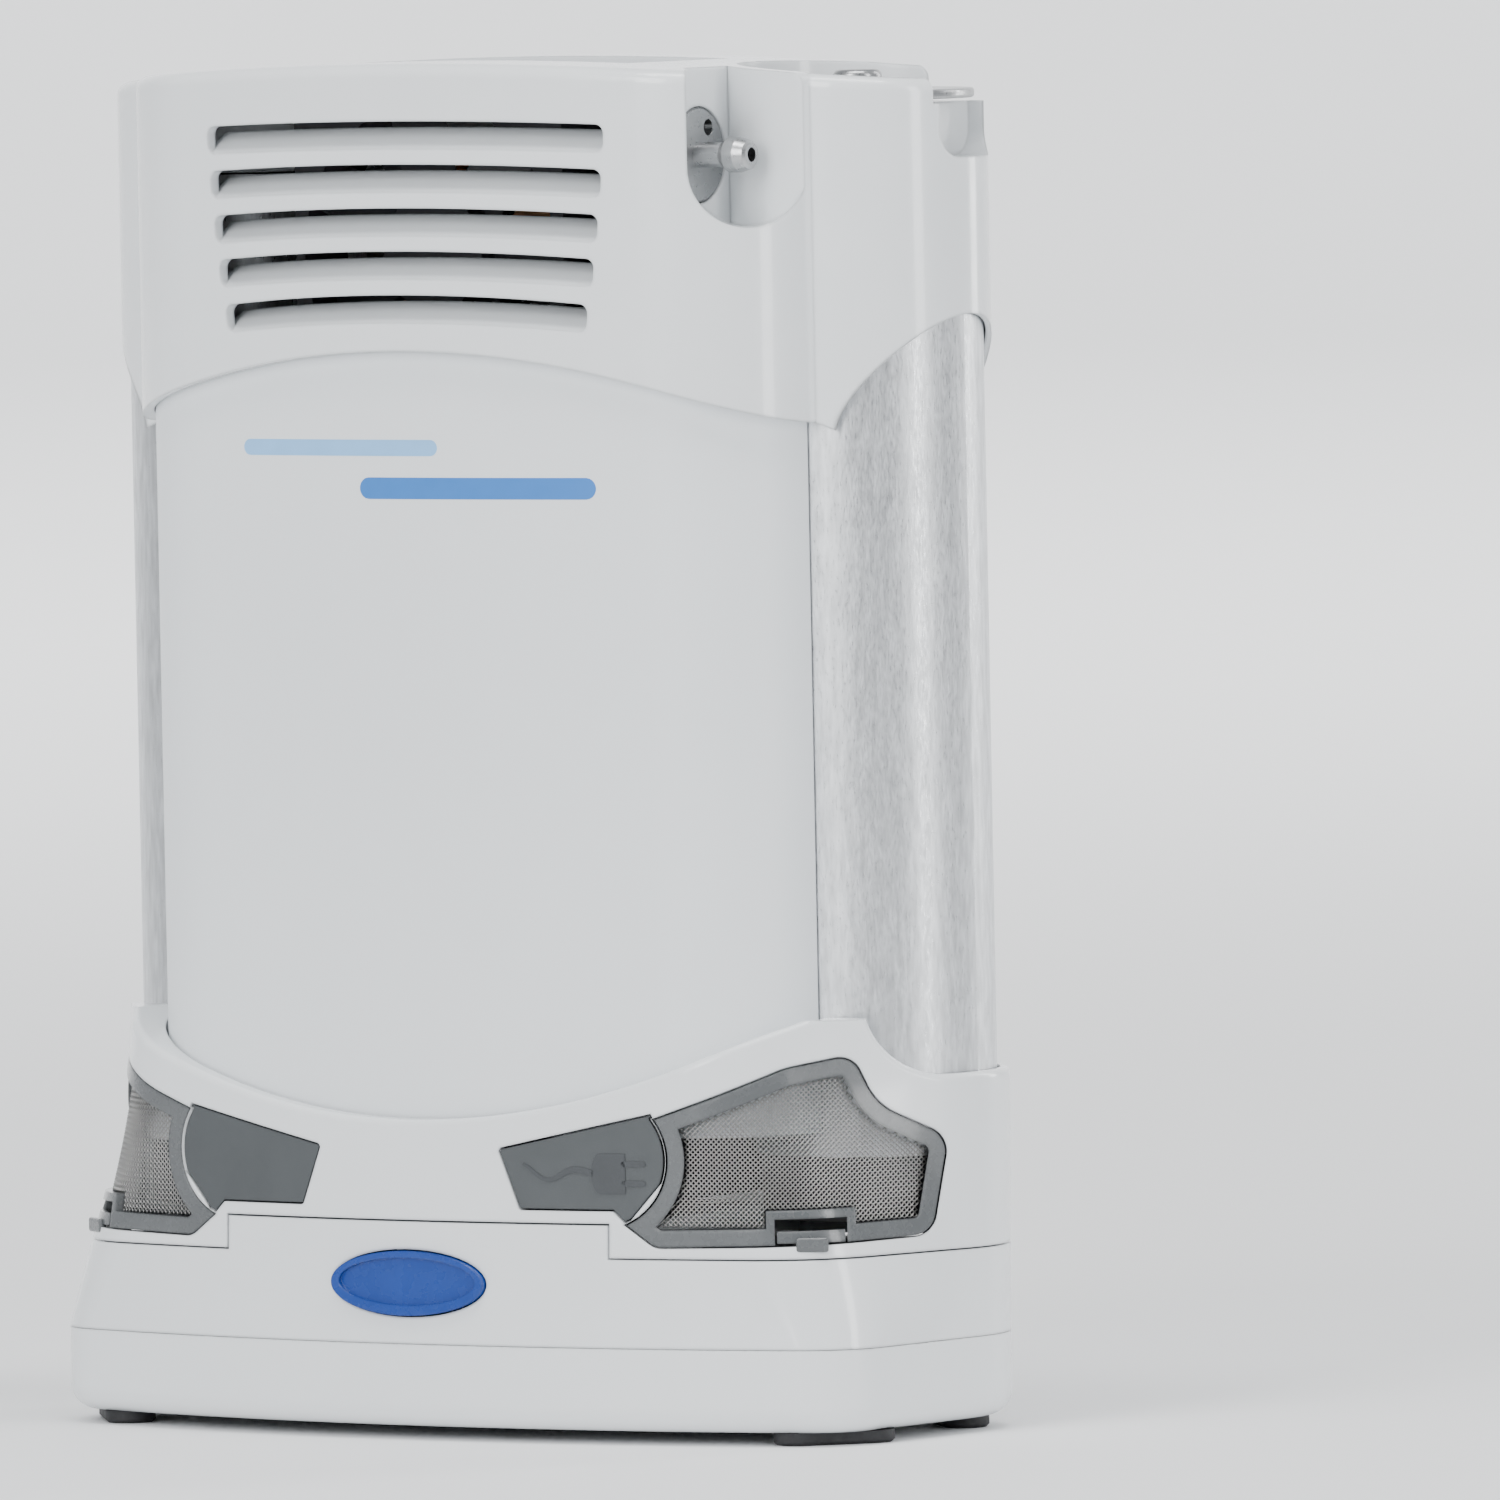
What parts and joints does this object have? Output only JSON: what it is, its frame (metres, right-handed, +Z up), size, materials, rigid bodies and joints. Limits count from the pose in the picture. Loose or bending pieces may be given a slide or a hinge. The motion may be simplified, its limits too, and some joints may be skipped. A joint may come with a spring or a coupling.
{
  "type": "portable oxygen concentrator",
  "caption": "Carry-size oxygen concentrator: curved white body between two bare metal sieve columns, louvred cap with a barbed outlet, corner mesh filters and a slide-off battery base.",
  "frame": {"origin": "centre of the footprint, at the level that the rubber feet stand on", "axes": "+X to the right and +Z up as seen from the front, +Y to the back; the louvred face looks along -Y"},
  "size_m": [0.1882, 0.0808, 0.2553],
  "materials": {
    "shell_white": "glossy moulded ABS, cool white",
    "panel_white": "satin white moulded panel",
    "tube_aluminium": "drawn tube, mottled satin",
    "disc_metal": "satin turned metal",
    "barb_metal": "bead-blasted plated brass",
    "frame_grey": "dark grey moulded frame",
    "cover_grey": "matte dark grey rubber",
    "mesh_steel": "woven stainless wire",
    "button_blue": "deep blue moulded plastic",
    "foot_rubber": "black rubber",
    "keypad_grey": "grey control fascia",
    "key_white": "pale silicone key",
    "key_green": "green silicone key",
    "lens_dark": "dark display window",
    "board_green": "circuit board",
    "inner_black": "black moulded nylon",
    "motor_alloy": "die-cast alloy",
    "pipe_copper": "bare copper pipe",
    "hose_clear": "milky silicone hose",
    "cell_wrap": "shrink-wrapped cell",
    "contact_gold": "gold plated contacts in black nylon"
  },
  "bodies": {
    "unit": {"back_panel": "panel_white", "chassis_frame": "inner_black", "column_bottom_left": "inner_black", "column_bottom_right": "inner_black", "column_socket_left": "inner_black", "column_socket_right": "inner_black", "column_top_left": "inner_black", "column_top_right": "inner_black", "column_tube_left": "tube_aluminium", "column_tube_right": "tube_aluminium", "compressor_head_left": "motor_alloy", "compressor_head_right": "motor_alloy", "compressor_motor": "motor_alloy", "control_panel": "keypad_grey", "cooling_coil": "pipe_copper", "data_connector": "inner_black", "display_board": "board_green", "display_lens": "lens_dark", "fan_housing": "inner_black", "front_panel": "panel_white", "intake_muffler": "inner_black", "isolator_left": "foot_rubber", "isolator_right": "foot_rubber", "lower_housing": "shell_white", "main_board": "board_green", "outlet_barb": "barb_metal", "outlet_disc": "barb_metal", "power_inlet": "inner_black", "product_hose": "hose_clear", "product_tank": "motor_alloy", "solenoid_1": "inner_black", "solenoid_2": "inner_black", "top_cap": "shell_white", "valve_manifold": "inner_black"},
    "battery": {"battery_board": "board_green", "battery_cells": "cell_wrap", "battery_lid": "shell_white", "battery_terminal": "contact_gold", "battery_tray": "shell_white", "button_pad": "foot_rubber", "feet_front": "foot_rubber", "feet_rear": "foot_rubber"},
    "battery_button": {"release_button": "button_blue"},
    "fan": {"fan_rotor": "inner_black"},
    "filter_right": {"filter_frame_right": "frame_grey", "filter_mesh_right": "mesh_steel"},
    "latch_right": {"filter_latch_right": "frame_grey"},
    "port_right": {"port_cover_right": "cover_grey"},
    "lift_right": {"release_disc_right": "disc_metal", "release_stem_right": "disc_metal"},
    "filter_left": {"filter_frame_left": "frame_grey", "filter_mesh_left": "mesh_steel"},
    "latch_left": {"filter_latch_left": "frame_grey"},
    "port_left": {"port_cover_left": "cover_grey"},
    "lift_left": {"release_disc_left": "disc_metal", "release_stem_left": "disc_metal"},
    "key_power": {"key_power": "key_green"},
    "key_mode": {"key_mode": "key_white"},
    "key_down": {"key_down": "key_white"},
    "key_up": {"key_up": "key_white"}
  },
  "joints": [
    {"name": "battery_slide", "type": "slide", "parent": "unit", "child": "battery", "axis": [0, -1, 0], "range_m": [0, 0.09]},
    {"name": "battery_button_press", "type": "slide", "parent": "battery", "child": "battery_button", "axis": [0, 1, 0], "range_m": [0, 0.0015], "stiffness_N_per_m": 900},
    {"name": "fan_spin", "type": "hinge", "parent": "unit", "child": "fan", "pos_m": [0, -0.018, 0.22], "axis": [0, 1, 0], "continuous": true},
    {"name": "filter_right_pull", "type": "slide", "parent": "unit", "child": "filter_right", "axis": [0.5592, -0.829, 0], "range_m": [0, 0.03]},
    {"name": "latch_right_flip", "type": "hinge", "parent": "filter_right", "child": "latch_right", "pos_m": [0.07923, -0.02304, 0.0398], "axis": [-0.829, -0.5592, 0], "range_deg": [0, 12], "stiffness_Nm_per_rad": 0.02},
    {"name": "port_right_open", "type": "hinge", "parent": "unit", "child": "port_right", "pos_m": [0.02, -0.03775, 0.05], "axis": [0, 0, -1], "range_deg": [0, 105], "stiffness_Nm_per_rad": 0.002},
    {"name": "lift_right_pull", "type": "slide", "parent": "unit", "child": "lift_right", "axis": [0, 0, 1], "range_m": [0, 0.006], "stiffness_N_per_m": 600},
    {"name": "filter_left_pull", "type": "slide", "parent": "unit", "child": "filter_left", "axis": [-0.5592, -0.829, 0], "range_m": [0, 0.03]},
    {"name": "latch_left_flip", "type": "hinge", "parent": "filter_left", "child": "latch_left", "pos_m": [-0.07923, -0.02304, 0.0398], "axis": [-0.829, 0.5592, 0], "range_deg": [0, 12], "stiffness_Nm_per_rad": 0.02},
    {"name": "port_left_open", "type": "hinge", "parent": "unit", "child": "port_left", "pos_m": [-0.02, -0.03775, 0.05], "axis": [0, 0, 1], "range_deg": [0, 105], "stiffness_Nm_per_rad": 0.002},
    {"name": "lift_left_pull", "type": "slide", "parent": "unit", "child": "lift_left", "axis": [0, 0, 1], "range_m": [0, 0.006], "stiffness_N_per_m": 600},
    {"name": "key_power_press", "type": "slide", "parent": "unit", "child": "key_power", "axis": [0, 0, -1], "range_m": [0, 0.0008], "stiffness_N_per_m": 500},
    {"name": "key_mode_press", "type": "slide", "parent": "unit", "child": "key_mode", "axis": [0, 0, -1], "range_m": [0, 0.0008], "stiffness_N_per_m": 500},
    {"name": "key_down_press", "type": "slide", "parent": "unit", "child": "key_down", "axis": [0, 0, -1], "range_m": [0, 0.0008], "stiffness_N_per_m": 500},
    {"name": "key_up_press", "type": "slide", "parent": "unit", "child": "key_up", "axis": [0, 0, -1], "range_m": [0, 0.0008], "stiffness_N_per_m": 500}
  ]
}
